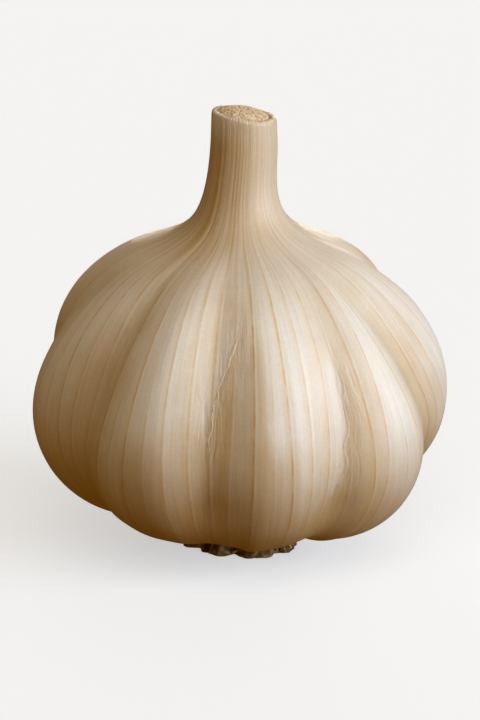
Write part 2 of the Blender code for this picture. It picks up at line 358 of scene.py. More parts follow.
def skin_places(azimuth, length, lift):
    """Points on the skin, lifted off it, and the radius, the height and the crease there."""
    radius, height, out_r, out_z = outline_at(length)
    relief, crease = clove_relief(azimuth, radius, height)
    r = radius + out_r * (relief + lift)
    z = height + out_z * (relief + lift)
    turn = np.radians(azimuth)
    x = r * np.sin(turn) + neck_centre(z)
    y = -r * np.cos(turn)
    stretch = smooth_step(NECK_FOOT_HEIGHT, NECK_HEIGHT, z)
    z = z + stretch * (cut_height(x, azimuth) - NECK_HEIGHT)
    return np.stack([x, y, z], -1), radius, height, crease


def lean_height(height):
    """Millimetres above the widest height, levelling off towards the neck and the foot."""
    above = (height - WIDEST_HEIGHT) / MM
    return LEAN_REACH * np.tanh(above / LEAN_REACH)


def all_veins():
    """The veins all round, each one's numbers as in VEINS."""
    rng = np.random.default_rng(VEIN_SEED)
    first, last = VEINS[0][0] + 360.0, VEINS[-1][0]
    step = (first - last) / (BACK_VEINS + 1)
    azimuth = last + step * np.arange(1, BACK_VEINS + 1)
    azimuth = azimuth + rng.uniform(-0.3, 0.3, BACK_VEINS) * step
    lean = np.interp(azimuth, *zip(*BACK_LEANS))
    strength = rng.uniform(0.3, 1.0, BACK_VEINS)
    tan_share = rng.uniform(0.1, 1.0, BACK_VEINS)
    return list(VEINS) + list(zip(azimuth, lean, strength, tan_share))


# The skin grid's columns: azimuth at the widest height, lean, degrees to the nearest vein,
# that vein's strength, share of the way across the panel between two veins, the panel's
# number and how tan it is
Columns = namedtuple("Columns", "azimuth lean gap strength share panel tan_share")


def skin_columns():
    """The skin grid's columns, closer together beside a vein."""
    veins = all_veins()
    columns = []
    for i, (azimuth, lean, strength, tan_share) in enumerate(veins):
        after_azimuth, after_lean, after_strength, _ = veins[(i + 1) % len(veins)]
        panel = (after_azimuth - azimuth) % 360.0
        count = FRONT_COLUMNS if i < len(VEINS) else BACK_COLUMNS
        near = min(VEIN_COLUMN_GAP, panel * 0.12) / panel
        shares = [0.0, near * 0.5, near, *np.linspace(near, 1 - near, count - 2)[1:-1]]
        shares += [1 - near, 1 - near * 0.5]
        for share in shares:
            gap = share * panel if share < 0.5 else (share - 1) * panel
            nearest = strength if share < 0.5 else after_strength
            column_lean = lean + (after_lean - lean) * share
            columns.append((azimuth + share * panel, column_lean, gap, nearest, share, i, tan_share))
    return Columns(*np.array(columns).T)


def add_object(name, data):
    obj = bpy.data.objects.new(name, data)
    bpy.context.scene.collection.objects.link(obj)
    return obj


def new_mesh_object(name, vertices, faces):
    mesh = bpy.data.meshes.new(name)
    mesh.from_pydata([tuple(v) for v in vertices], [], [tuple(f) for f in faces])
    mesh.shade_smooth()
    return add_object(name, mesh)


def set_attributes(mesh, values):
    """Stores numbers, or vectors of three, for the material to read at each vertex."""
    for name, array in values.items():
        array = np.asarray(array, np.float32)
        kind, field = ("FLOAT_VECTOR", "vector") if array.ndim == 2 else ("FLOAT", "value")
        attribute = mesh.attributes.new(name, kind, "POINT")
        attribute.data.foreach_set(field, array.ravel())


def ring_faces(rows, columns):
    """Quads of a grid that closes on itself round the columns."""
    row, column = np.meshgrid(np.arange(rows - 1), np.arange(columns), indexing="ij")
    after = (column + 1) % columns
    a = row * columns + column
    b = row * columns + after
    c = (row + 1) * columns + after
    d = (row + 1) * columns + column
    return [tuple(face) for face in np.stack([a, d, c, b], -1).reshape(-1, 4)]


def fan(centre, first, count, turned=False):
    """Triangles from a centre to the ring of vertices that starts at first."""
    ring = [(first + i, first + (i + 1) % count) for i in range(count)]
    return [(centre, b, a) if turned else (centre, a, b) for a, b in ring]


def near_tear(azimuth, height):
    """How near a point is to a torn edge, and to its left and its right side: 0 to 1."""
    near = np.zeros_like(azimuth)
    left = np.zeros_like(azimuth)
    right = np.zeros_like(azimuth)
    for path in TORN_EDGES:
        heights = [-knot[1] * MM for knot in path]
        away = azimuth - np.interp(-height, heights, [knot[0] for knot in path])
        along = smooth_step(heights[0] - 4 * MM, heights[0] + 2 * MM, -height)
        along = along * smooth_step(heights[-1] + 3 * MM, heights[-1] - 2 * MM, -height)
        on_left = np.clip(-away / TEAR_EDGE, 0.0, 1.0)
        on_right = np.clip(away / TEAR_EDGE, 0.0, 1.0)
        near = np.maximum(near, hump(away, WRINKLE_REACH) * along)
        # Left of a torn edge a painted highlight, right of it painted shade
        left = np.maximum(left, on_left * hump(away, TEAR_HIGHLIGHT_REACH) * along)
        right = np.maximum(right, on_right * hump(away, TEAR_SHADE_REACH) * along)
    return near, left, right


def golden(azimuth, height):
    """0 to 1, how golden the skin is along the golden bands, partly its own tone and partly painted
    shade.
    """
    above = (height - WIDEST_HEIGHT) / MM
    total = np.zeros_like(azimuth)
    for middle, lean, half_width, strength, top in GOLDEN_AND_SHADED_BANDS:
        band = hump(azimuth - middle - lean * above, half_width)
        total = total + strength * band * smooth_step(top + BAND_FADE, top - 0.5 * BAND_FADE, height)
    return total


def neck_tan_and_shade(azimuth, radius, height):
    """0 to 1, how brown the skin is on the neck, below it and on top of one clove: the neck's own tan,
    with painted shade on the side away from the key lamp and on that clove's top.
    """
    # Painted shade: more brown on the side away from the key lamp, over the neck's own tan
    turned = azimuth - NECK_SHADE_SIDE + NECK_SHADE_TURN * smooth_step(*NECK_SHADE_TURN_HEIGHTS, height)
    shade_side = smooth_step(0.2, 0.62, 0.5 + 0.5 * np.cos(np.radians(turned)))
    plain = 0.42 + 0.2 * smooth_step(*NECK_PLAIN_RADII, radius)
    neck = smooth_step(*NECK_BROWN_RADII, radius) * smooth_step(*NECK_BROWN_HEIGHTS, height)
    neck = neck * (plain + (1 - plain) * shade_side)
    near_cut = hump(azimuth - PALE_CUT_SIDE, 50.0) * smooth_step(*PALE_CUT_HEIGHTS, height)
    # Painted shade on the top of one back clove
    clove = 0.75 * hump(azimuth - SHADED_CLOVE, 30.0) * smooth_step(*SHADED_CLOVE_HEIGHTS, height)
    return np.maximum(neck * (1 - 0.8 * near_cut), clove)


def fibre_places(base_azimuth, length):
    """Where the noise that follows the fibres is read: round the bulb and along the skin."""
    turn = np.radians(base_azimuth)
    return np.stack([np.sin(turn), np.cos(turn), length], -1)


def skin_attributes(azimuth, base_azimuth, length, radius, height, crease):
    """What the skin's material reads at each vertex, apart from the veins."""
    tear, left, right = near_tear(azimuth, height)
    # The painted highlight left of the first tear ends above the foot, that of the second doesn't
    pale = np.maximum(smooth_step(*TEAR_HIGHLIGHT_HEIGHTS, height), smooth_step(*TEAR_HIGHLIGHT_AZIMUTHS, azimuth))
    return {
        "fibre": fibre_places(base_azimuth, length),
        "crease": crease,
        "neck": neck_tan_and_shade(azimuth, radius, height),
        "foot": smooth_step(*FOOT_HEIGHTS, height),
        "cut": np.zeros_like(length),
        "tear": tear,
        "tear_highlight": left * pale,
        # The painted shade right of each tear is laid in with the golden bands
        "golden": np.maximum(golden(azimuth, height), 0.25 * right),
    }


def rim_rows(azimuth):
    """Rings from the pocket's floor up its wall and over the sheath's worn cut edge, each
    one's length along the skin, and how much it is a fresh cut, 0 to 1."""
    wall = NECK_RADIUS - RIM_THICKNESS
    steps = [(wall * 0.5, -POCKET_DEPTH, 0.0)]
    steps += [(wall, -depth, 0.0) for depth in POCKET_RINGS]
    steps += [(wall, -RIM_FRESH_DEPTH, 1.0)]
    for turn in np.linspace(0.0, math.pi, RIM_ROWS):
        radius = wall + RIM_THICKNESS * (0.5 - 0.5 * math.cos(turn))
        drop = RIM_INNER_DROP if turn < math.pi / 2 else RIM_OUTER_DROP
        steps.append((radius, -drop * (1 - math.sin(turn)), min(1.0, 1.3 + 0.8 * math.cos(turn))))
    rows = []
    turn = np.radians(azimuth)
    for radius, drop, _ in steps:
        inward = (NECK_RADIUS - radius) / RIM_THICKNESS
        uneven = 1 + RIM_UNEVEN * inward * waves(azimuth, 2, 7, 5, 8)
        x = NECK_SHIFT + radius * uneven * np.sin(turn)
        y = -radius * uneven * np.cos(turn)
        sloped = cut_height(x, azimuth) + drop
        z = np.where(drop < -MM, NECK_HEIGHT + drop, sloped)
        rows.append(np.stack([x, y, z], -1))
    radius, _, fresh = np.array(steps).T
    return np.array(rows), radius - NECK_RADIUS, fresh


def bulb_share(radius, height):
    """For each row of the skin: 0 on the neck, 1 on the bulb, and less at its foot."""
    up_foot = VEIN_AT_FOOT + (1 - VEIN_AT_FOOT) * smooth_step(*VEIN_HEIGHTS, height)
    return (smooth_step(*VEIN_RADII, radius) * up_foot)[:, None]


def fine_relief(columns, radius, height):
    """A ridge on each vein, a shallow panel between two veins, and pleats up the neck."""
    rng = np.random.default_rng(VEIN_SEED + 1)
    swell = rng.uniform(-0.6, 1.0, int(columns.panel.max()) + 1)[columns.panel.astype(int)]
    on_bulb = bulb_share(radius, height)
    on_neck = smooth_step(*PLEAT_RADII, radius) * smooth_step(*PLEAT_HEIGHTS, height)
    neck_azimuth = columns.azimuth + columns.lean * lean_height(NECK_FOOT_HEIGHT)
    pleat = waves(neck_azimuth, 14, 40, 9, 21) + 0.5 * waves(neck_azimuth, 40, 80, 9, 22)
    ridges = VEIN_RIDGE * (columns.strength * hump(columns.gap, VEIN_RIDGE_WIDTH)) * on_bulb
    panels = PANEL_RELIEF * (swell * np.sin(np.pi * columns.share)) * on_bulb
    return ridges + panels + PLEAT_RELIEF * pleat * on_neck[:, None]


def close_skin(grid):
    """The grid's vertices and faces, closed at the pocket's floor and in the dimple."""
    rows, count = grid.shape[:2]
    floor_centre = (NECK_SHIFT, 0.0, NECK_HEIGHT - POCKET_DEPTH)
    vertices = np.vstack([grid.reshape(-1, 3), [floor_centre, (0.0, 0.0, DIMPLE_HEIGHT)]])
    faces = ring_faces(rows, count) + fan(rows * count, 0, count)
    faces += fan(rows * count + 1, (rows - 1) * count, count, turned=True)
    return vertices, faces


def vein_attributes(columns, radius, on_bulb):
    """What the skin's material reads of the veins and the panels between them."""
    narrowing = np.clip(radius / (20.0 * MM), 0.3, 1.0)
    arc = np.radians(np.abs(columns.gap)) * radius / narrowing
    side = np.clip(columns.gap / 0.5, -1.0, 1.0)
    return {
        "vein_gap": arc / MM,
        "vein_side": np.broadcast_to(side, radius.shape),
        "vein_strength": columns.strength * (0.3 + 0.7 * on_bulb),
        "veil": columns.tan_share * np.sin(np.pi * columns.share) ** 1.5 * on_bulb,
    }


def over_skin(outer, inner, inner_rows):
    """A number for each vertex: inner on the pocket's wall and the cut edge, outer on the
    outside, and 0 on the two centres."""
    inner = np.broadcast_to(inner, (inner_rows, outer.shape[1]))
    return np.concatenate([inner.ravel(), outer.ravel(), np.zeros(2)])


def make_skin():
    """The papery skin: the pocket's wall, the cut edge and the outside to the dimple."""
    columns = skin_columns()
    count = len(columns.azimuth)
    row_length = np.linspace(SKIN_START, OUTLINE_LENGTH, OUTLINE_ROWS)[:-1]
    row_radius, row_height, _, _ = outline_at(row_length)
    azimuth = columns.azimuth + columns.lean * lean_height(row_height)[:, None]
    length = np.repeat(row_length[:, None], count, 1)
    fine = fine_relief(columns, row_radius, row_height)
    places, radius, height, crease = skin_places(azimuth, length, fine)
    inner, inner_length, fresh = rim_rows(azimuth[0])
    vertices, faces = close_skin(np.concatenate([inner, places]))
    skin = new_mesh_object("papery_skin", vertices, faces)

    base_azimuth = np.tile(columns.azimuth, (len(row_length), 1))
    values = skin_attributes(azimuth, base_azimuth, length, radius, height, crease)
    values.update(vein_attributes(columns, radius, bulb_share(row_radius, row_height)))
    fibre = values.pop("fibre").reshape(-1, 3)
    inner_values = {"neck": values["neck"][0], "cut": fresh[:, None], "vein_gap": NO_VEIN}
    for name, outer in values.items():
        values[name] = over_skin(outer, inner_values.get(name, 0.0), len(inner))
    rim_azimuth = np.tile(columns.azimuth, len(inner))
    rim_fibre = fibre_places(rim_azimuth, np.repeat(inner_length, count))
    values["fibre"] = np.vstack([rim_fibre, fibre, np.zeros((2, 3))])
    set_attributes(skin.data, values)
    return skin


# ---- torn edges

TEAR_STATIONS = 260
TEAR_WIDTH_DEGREES = 2.6
TEAR_SEED = 3

# Across a torn edge, from the skin on its left to under it on its right: share of its
# width, and how far it stands out of the skin
TEAR_SECTION = (
    (0.0, -0.06 * MM), (0.3, 0.0), (0.55, 0.02 * MM),
    (0.78, 0.045 * MM), (0.92, 0.06 * MM), (1.0, 0.045 * MM),
    (1.04, -0.01 * MM), (1.03, -0.12 * MM), (0.5, -0.30 * MM),
)


def rough_line(rng, count, reach):
    """Random numbers from -1 to 1 in a row, smoothed over some neighbours."""
    kernel = np.hanning(reach + 2)[1:-1]
    line = np.convolve(rng.uniform(-1, 1, count), kernel / kernel.sum(), "same")
    return line / np.abs(line).max()


def tear_strip(path, seed):
    """One torn edge along a crease: its vertices, faces and attributes. It grows out of
    the skin on its left, is crinkled, and breaks off jaggedly on its right."""
    rng = np.random.default_rng(seed)
    station = np.linspace(0.0, 1.0, TEAR_STATIONS)
    knots = np.linspace(0.0, 1.0, len(path))
    height = np.interp(station, knots, [knot[1] * MM for knot in path])
    edge = np.interp(station, knots, [knot[0] for knot in path])
    ends = smooth_step(0.0, 0.12, station) * smooth_step(1.0, 0.88, station)
    jag = 0.55 * rough_line(rng, TEAR_STATIONS, 31) + 0.15 * rough_line(rng, TEAR_STATIONS, 7)
    crinkle = 1.0 + 0.6 * rough_line(rng, TEAR_STATIONS, 17) + 0.4 * rough_line(rng, TEAR_STATIONS, 7)
    width = TEAR_WIDTH_DEGREES * (0.6 + 0.4 * rough_line(rng, TEAR_STATIONS, 31)) * (0.25 + 0.75 * ends)
    length = length_at_height(height)
    vertices, values = [], []
    for share, lift in TEAR_SECTION:
        azimuth = edge - width * (1 - share) + jag * share**2
        raised = lift * np.clip(crinkle, 0.1, 2.0) * ends if lift > 0.0 else lift - 0.05 * MM
        places, radius, level, crease = skin_places(azimuth, length, raised)
        vertices.append(places)
        attributes = skin_attributes(azimuth, azimuth, length, radius, level, crease)
        attributes["torn"] = np.full(TEAR_STATIONS, min(share, 1.0) ** 2) * ends
        values.append(attributes)
    across = len(TEAR_SECTION)
    faces = []
    for i in range(TEAR_STATIONS - 1):
        for first in range(across):
            a = first * TEAR_STATIONS + i
            b = (first + 1) % across * TEAR_STATIONS + i
            faces.append((a, a + 1, b + 1, b))
    faces.append(tuple(k * TEAR_STATIONS for k in range(across)))
    faces.append(tuple((k + 1) * TEAR_STATIONS - 1 for k in reversed(range(across))))
    return np.vstack(vertices), faces, values


def make_torn_edges():
    """All the torn edges, joined in one object."""
    vertices, faces, values = [], [], []
    for seed, path in enumerate(TORN_EDGES):
        strip_vertices, strip_faces, strip_values = tear_strip(path, TEAR_SEED + seed)
        offset = sum(len(part) for part in vertices)
        vertices.append(strip_vertices)
        faces += [tuple(k + offset for k in face) for face in strip_faces]
        values += strip_values
    strips = new_mesh_object("torn_edges", np.vstack(vertices), faces)
    shape = bmesh.new()
    shape.from_mesh(strips.data)
    bmesh.ops.recalc_face_normals(shape, faces=shape.faces)
    shape.to_mesh(strips.data)
    shape.free()
    joined = {name: np.concatenate([part[name] for part in values]) for name in values[0]}
    joined["vein_gap"] = np.full(len(strips.data.vertices), NO_VEIN)
    set_attributes(strips.data, joined)
    return strips


# ---- stalk end

STALK_RINGS = 48
STALK_COLUMNS = 190
STALK_RADIUS = NECK_RADIUS - RIM_THICKNESS - 0.05 * MM
STALK_DOME = 0.7 * MM
STALK_EDGE_DROP = 0.12 * MM
STALK_UNEVEN = 0.008

# Its roughness: the noise's scale and height
STALK_GRAIN = (3000.0, 0.11 * MM)
STALK_CLUMPS = (1300.0, 0.08 * MM)

# The plug under the disc: each ring's height and share of the disc's width
STALK_PLUG = ((NECK_HEIGHT - 1.4 * MM, 0.985), (NECK_HEIGHT - POCKET_DEPTH + 0.3 * MM, 0.93))

# The gap beside the sheath: how wide it is, and where it is widest, in radians past +X
STALK_GAP = 0.3 * MM
STALK_GAP_TURN = 0.35


def make_stalk_end():
    """The dry stalk's cut end: a slightly domed, fibrous disc that has shrunk from the
    sheath on its +X side, on a plug that fills the pocket."""
    turn = np.linspace(0.0, math.tau, STALK_COLUMNS, endpoint=False)
    towards_gap = np.clip(np.sin(turn - STALK_GAP_TURN), 0.0, 1.0) ** 3
    outer = STALK_RADIUS * (1 + STALK_UNEVEN * waves(np.degrees(turn), 3, 20, 6, 31))
    outer = outer - STALK_GAP * towards_gap
    vertices, tone = [(NECK_SHIFT, 0.0, NECK_HEIGHT + STALK_DOME)], [0.5]
    for ring in range(1, STALK_RINGS + 1):
        share = ring / STALK_RINGS
        for angle, reach in zip(turn, outer):
            x = reach * share * math.sin(angle)
            y = -reach * share * math.cos(angle)
            grain = noise.noise(Vector((x, y, 0.0)) * STALK_GRAIN[0])
            clump = noise.noise(Vector((x + 0.01, y, 0.0)) * STALK_CLUMPS[0])
            rough = STALK_GRAIN[1] * grain + STALK_CLUMPS[1] * clump
            top = STALK_DOME * (1 - share**3) - STALK_EDGE_DROP * share**10
            z = NECK_HEIGHT - math.tan(CUT_SLOPE) * x + top + rough
            vertices.append((x + NECK_SHIFT, y, z))
            tone.append(0.6 + 0.4 * clump + 0.5 * grain)
    for level, shrink in STALK_PLUG:
        for angle, reach in zip(turn, outer * shrink):
            x = NECK_SHIFT + reach * math.sin(angle)
            vertices.append((x, -reach * math.cos(angle), level))
            tone.append(0.3)
    vertices.append((NECK_SHIFT, 0.0, STALK_PLUG[-1][0]))
    tone.append(0.3)
    rings = STALK_RINGS + len(STALK_PLUG)
    faces = [tuple(k + 1 for k in face) for face in ring_faces(rings, STALK_COLUMNS)]
    faces += fan(0, 1, STALK_COLUMNS)
    faces += fan(len(vertices) - 1, 1 + (rings - 1) * STALK_COLUMNS, STALK_COLUMNS, turned=True)
    stalk = new_mesh_object("stalk_end", vertices, faces)
    set_attributes(stalk.data, {"tone": tone})
    return stalk


# ---- root tuft

ROOT_SEED = 17
ROOT_COUNT = 230
ROOT_REACH = 9.9 * MM
MAT_RADIUS = 8.5 * MM
MAT_HEIGHT = 0.02 * MM
MAT_WALL_HEIGHT = 2.7 * MM
MAT_WALL_ROWS = 9
ROOT_SIDES = 7
ROOT_STEPS = 6
ROOT_LOWEST = 0.02 * MM
ROOT_SHARP_ANGLE = math.radians(55.0)
PLATE_RINGS = 44
PLATE_COLUMNS = 200

# The mat is wider on one side, by this share and for this many degrees off it, and has
# waves round it: their number, where they start in radians and their share of its radius
MAT_WIDE_SIDE = -58.0
MAT_WIDER = 0.15
MAT_WIDE_REACH = 32.0
MAT_WAVES = ((9.0, 1.0, 0.06), (17.0, 2.0, 0.04))

# Its lumps and its fine grain: the noise's scale, share of the radius and height
MAT_LUMPS = (600.0, 0.12, 0.45 * MM)
MAT_GRAIN = (1900.0, 0.05, 0.2 * MM)
MAT_LOWEST = 0.03 * MM


def mat_spread(turn):
    """How much wider the mat is in this direction than its radius: it is uneven, and
    spreads to the front and +X."""
    away = (math.degrees(turn) - MAT_WIDE_SIDE + 180.0) % 360.0 - 180.0
    uneven = sum(share * math.sin(count * turn + start) for count, start, share in MAT_WAVES)
    return 1.0 + MAT_WIDER * hump(away, MAT_WIDE_REACH) + uneven


def plate_surface():
    """The matted corky disc, closed above: its vertices, faces and tones."""
    section = []
    for i in range(PLATE_RINGS + 1):
        share = i / PLATE_RINGS
        section.append((MAT_RADIUS * share, MAT_HEIGHT))
    for i in range(1, MAT_WALL_ROWS + 1):
        share = i / MAT_WALL_ROWS
        section.append((MAT_RADIUS * (1 - 0.08 * share), MAT_HEIGHT + MAT_WALL_HEIGHT * share))
    section += [(MAT_RADIUS * 0.85, 4.0 * MM), (PLATE_RADIUS * 0.7, 4.9 * MM)]
    vertices, tone = [(0.0, 0.0, MAT_HEIGHT)], [0.2]
    for radius, height in section[1:]:
        for i in range(PLATE_COLUMNS):
            turn = math.tau * i / PLATE_COLUMNS
            at = Vector((radius * math.cos(turn), radius * math.sin(turn), height))
            lump = noise.noise(at * MAT_LUMPS[0])
            fine = noise.noise(at * MAT_GRAIN[0])
            wider = mat_spread(turn) - 1.0 + MAT_LUMPS[1] * lump + MAT_GRAIN[1] * fine
            at += Vector((at.x, at.y, 0.0)) * wider
            at.z = max(at.z + MAT_LUMPS[2] * lump + MAT_GRAIN[2] * fine, MAT_LOWEST)
            vertices.append(tuple(at))
            # The tone rises with the lumps, so the hollows are darker: painted shade
            tone.append(0.28 + 0.6 * fine + 0.45 * lump)
    vertices.append((0.0, 0.0, PLATE_TOP_HEIGHT))
    tone.append(0.3)
    rings = len(section) - 1
    faces = [tuple(k + 1 for k in reversed(face)) for face in ring_faces(rings, PLATE_COLUMNS)]
    faces += fan(0, 1, PLATE_COLUMNS, turned=True)
    faces += fan(len(vertices) - 1, 1 + (rings - 1) * PLATE_COLUMNS, PLATE_COLUMNS)
    return vertices, faces, tone


def root_stub(rng):
    """One trimmed root, matted down: points along its middle, its thickness, its tone."""
    turn = rng.uniform(0.0, math.tau)
    outward = rng.uniform(0.1, 1.0) ** 0.5
    radius = MAT_RADIUS * 0.94 * outward * mat_spread(turn)
    out = Vector((math.cos(turn), math.sin(turn), 0.0))
    sideways = Vector((-out.y, out.x, 0.0))
    start = out * radius
    start.z = (0.9 + 0.9 * outward**4) * MM
    heading = rng.normal(0.0, 1.0)
    end = start + (out * math.cos(heading) + sideways * math.sin(heading)) * rng.uniform(0.3, 1.3) * MM
    end = end * min(1.0, ROOT_REACH / end.length)
    end.z = rng.uniform(0.05, 0.7) * MM
    bend = (sideways * rng.uniform(-0.4, 0.4) + Vector((0.0, 0.0, -0.3))) * MM
    points = []
    for i in range(ROOT_STEPS + 1):
        share = i / ROOT_STEPS
        points.append(start.lerp(end, share) + bend * math.sin(math.pi * share))
    thickness = rng.uniform(0.2, 0.42) * MM
    return points, thickness, rng.uniform(0.0, 1.0) ** 2.0


def tube(points, thickness, tone, rng):
    """A closed rough tube through the points, kept above the ground."""
    vertices, tones = [], []
    frame_up = Vector((0.3, 0.8, 0.5)).normalized()
    for i, point in enumerate(points):
        share = i / (len(points) - 1)
        before, after = points[max(i - 1, 0)], points[min(i + 1, len(points) - 1)]
        ahead = (after - before).normalized()
        side = ahead.cross(frame_up).normalized()
        other = ahead.cross(side)
        for k in range(ROOT_SIDES):
            turn = math.tau * k / ROOT_SIDES
            radius = thickness * (1.15 - 0.45 * share) * rng.uniform(0.8, 1.2)
            place = point + (side * math.cos(turn) + other * math.sin(turn)) * radius
            place.z = max(place.z, ROOT_LOWEST)
            vertices.append(tuple(place))
            tones.append(tone + 0.25 * share)
    faces = []
    for i in range(len(points) - 1):
        for k in range(ROOT_SIDES):
            a, b = i * ROOT_SIDES + k, i * ROOT_SIDES + (k + 1) % ROOT_SIDES
            faces.append((a, a + ROOT_SIDES, b + ROOT_SIDES, b))
    last = (len(points) - 1) * ROOT_SIDES
    faces.append(tuple(range(ROOT_SIDES)))
    faces.append(tuple(last + k for k in reversed(range(ROOT_SIDES))))
    return vertices, faces, tones


def make_root_tuft():
    """The matted disc and the trimmed roots, in one object."""
    vertices, faces, tones = plate_surface()
    rng = np.random.default_rng(ROOT_SEED)
    for _ in range(ROOT_COUNT):
        points, thickness, tone = root_stub(rng)
        stub_vertices, stub_faces, stub_tones = tube(points, thickness, tone, rng)
        offset = len(vertices)
        vertices += stub_vertices
        faces += [tuple(k + offset for k in face) for face in stub_faces]
        tones += stub_tones
    tuft = new_mesh_object("root_tuft", vertices, faces)
    tuft.data.set_sharp_from_angle(angle=ROOT_SHARP_ANGLE)
    set_attributes(tuft.data, {"tone": tones})
    return tuft


# ---- node helpers

class Nodes:
    """A material's nodes, made in the order that the colour is built up."""

    def __init__(self, name):
        self.material = bpy.data.materials.new(name)
        self.material.use_nodes = True
        self.tree = self.material.node_tree
        self.shader = self.tree.nodes["Principled BSDF"]

    def add(self, kind, inputs=None, **settings):
        """A new node, with numbers or links for its inputs."""
        node = self.tree.nodes.new(kind)
        for key, value in settings.items():
            setattr(node, key, value)
        for name, value in (inputs or {}).items():
            self.put(node.inputs[name], value)
        return node

    def put(self, socket, value):
        """Links an output to an input, or sets the input's own value."""
        if isinstance(value, bpy.types.NodeSocket):
            self.tree.links.new(value, socket)
        else:
            socket.default_value = value

    def shade(self, name, value):
        """Links or sets one of the shader's inputs."""
        self.put(self.shader.inputs[name], value)

    def attribute(self, name):
        return self.add("ShaderNodeAttribute", attribute_name=name).outputs["Fac"]

    def math(self, operation, a, b=0.0):
        return self.add("ShaderNodeMath", {0: a, 1: b}, operation=operation).outputs[0]

    def times(self, *values):
        product = values[0]
        for value in values[1:]:
            product = self.math("MULTIPLY", product, value)
        return product

    def ramp(self, value, start, end, low=0.0, high=1.0):
        """A smooth step from low at start to high at end."""
        inputs = {"Value": value, "From Min": start, "From Max": end, "To Min": low, "To Max": high}
        node = self.add("ShaderNodeMapRange", inputs, interpolation_type="SMOOTHSTEP")
        return node.outputs["Result"]

    def along(self, fibre, scale):
        """The fibre places with their length scaled: the smaller, the longer the streaks."""
        inputs = {0: fibre, 1: (1.0, 1.0, scale)}
        return self.add("ShaderNodeVectorMath", inputs, operation="MULTIPLY").outputs[0]

    def noise(self, vector, scale, detail, roughness=0.5, distortion=0.0):
        inputs = {"Vector": vector, "Scale": scale, "Detail": detail}
        inputs.update(Roughness=roughness, Distortion=distortion)
        return self.add("ShaderNodeTexNoise", inputs).outputs["Fac"]

    def mix(self, share, a, b, blend="MIX"):
        node = self.add("ShaderNodeMix", data_type="RGBA", blend_type=blend)
        node.clamp_result = False
        self.put(node.inputs[0], share)
        for socket, colour in ((node.inputs[6], a), (node.inputs[7], b)):
            self.put(socket, colour if isinstance(colour, bpy.types.NodeSocket) else (*colour, 1.0))
        return node.outputs[2]

    def layers(self, colour, rows):
        """The colour with others laid over it, one a row: what the other one follows, where
        it starts and is full, its greatest share, and the colour."""
        for value, start, end, most, other in rows:
            colour = self.mix(self.ramp(value, start, end, 0.0, most), colour, other)
        return colour

    def grey(self, value):
        """A grey colour from a number, for multiplying a colour."""
        return self.add("ShaderNodeCombineColor", {0: value, 1: value, 2: value}).outputs[0]

    def bump(self, height, distance, strength, normal=None):
        inputs = {"Strength": strength, "Distance": distance, "Height": height}
        if normal is not None:
            inputs["Normal"] = normal
        return self.add("ShaderNodeBump", inputs).outputs[0]


# ---- materials

CREAM = (0.85, 0.78, 0.67)
PALE = (0.95, 0.93, 0.90)
TAN = (0.70, 0.56, 0.39)
VEIN = (0.87, 0.69, 0.41)
# The tan of the painted shade in the creases, also used for the golden bands
CREASE_SHADE_TAN = (0.63, 0.455, 0.235)
NECK_TAN = (0.54, 0.36, 0.155)
NECK_PALE = (0.80, 0.655, 0.42)
RIM_TAN = (0.60, 0.43, 0.25)
FOOT_BROWN = (0.46, 0.28, 0.085)
ROOT_DARK = (0.075, 0.038, 0.008)
ROOT_BROWN = (0.26, 0.145, 0.04)
ROOT_TAN = (0.45, 0.29, 0.12)
STALK_TAN = (0.92, 0.70, 0.45)
STALK_PALE = (0.90, 0.76, 0.56)
STALK_BROWN = (0.42, 0.26, 0.11)

# Relief that is too fine for the mesh
HAIR_DEPTH = 0.04 * MM
STREAK_DEPTH = 0.18 * MM
NECK_STREAK_DEPTH = 0.12 * MM
CRUMPLE_DEPTH = 0.18 * MM
WRINKLE_DEPTH = 0.4 * MM
STALK_DEPTH = 0.2 * MM
ROOT_DEPTH = 0.25 * MM


def vein_layers(n, colour, fibre, neck, foot):
    """The colour with veins laid over it: a golden line each, a soft tan band, stronger on one
    side, where it is painted shade away from the key lamp, and a pale line on the other, a
    painted highlight."""
    gap, side, strength = map(n.attribute, ("vein_gap", "vein_side", "vein_strength"))
    wander = n.noise(n.along(fibre, 60.0), 6.0, 2.0)
    line = n.times(n.ramp(gap, 0.22, 0.03), strength, n.ramp(wander, 0.33, 0.6, 0.3, 1.0))
    tan_and_shade_band = n.times(n.ramp(gap, 1.2, 0.1), strength, n.ramp(side, 0.5, -0.5, 0.2, 0.45))
    colour = n.mix(tan_and_shade_band, colour, VEIN, "MULTIPLY")
    colour = n.mix(line, colour, VEIN, "MULTIPLY")
    # A painted highlight: a pale line beside the vein, on its side towards the key lamp
    beside = n.ramp(n.math("ABSOLUTE", n.math("SUBTRACT", gap, 0.36)), 0.16, 0.0)
    away = n.math("SUBTRACT", 1.0, n.math("MAXIMUM", neck, foot))
    return n.mix(n.times(beside, away, n.ramp(side, 0.1, 0.4, 0.0, 0.2)), colour, PALE)


def skin_normal(n, position, fibre, neck, hairs, streaks, fine_streaks):
    """Relief too fine for the mesh: fibres, a faint crumple, wrinkles along the tears."""
    crumple = n.noise(position, 380.0, 3.0, 0.5)
    wrinkles = n.noise(n.along(fibre, 7.0), 26.0, 3.0, 0.5, 0.7)
    normal = n.bump(hairs, HAIR_DEPTH, 0.5)
    off_neck = n.math("SUBTRACT", 1.0, neck)
    normal = n.bump(n.times(streaks, off_neck), STREAK_DEPTH, 0.5, normal)
    normal = n.bump(n.times(fine_streaks, neck), NECK_STREAK_DEPTH, 0.5, normal)
    normal = n.bump(crumple, CRUMPLE_DEPTH, 0.3, normal)
    return n.bump(n.times(wrinkles, n.attribute("tear")), WRINKLE_DEPTH, 0.6, normal)


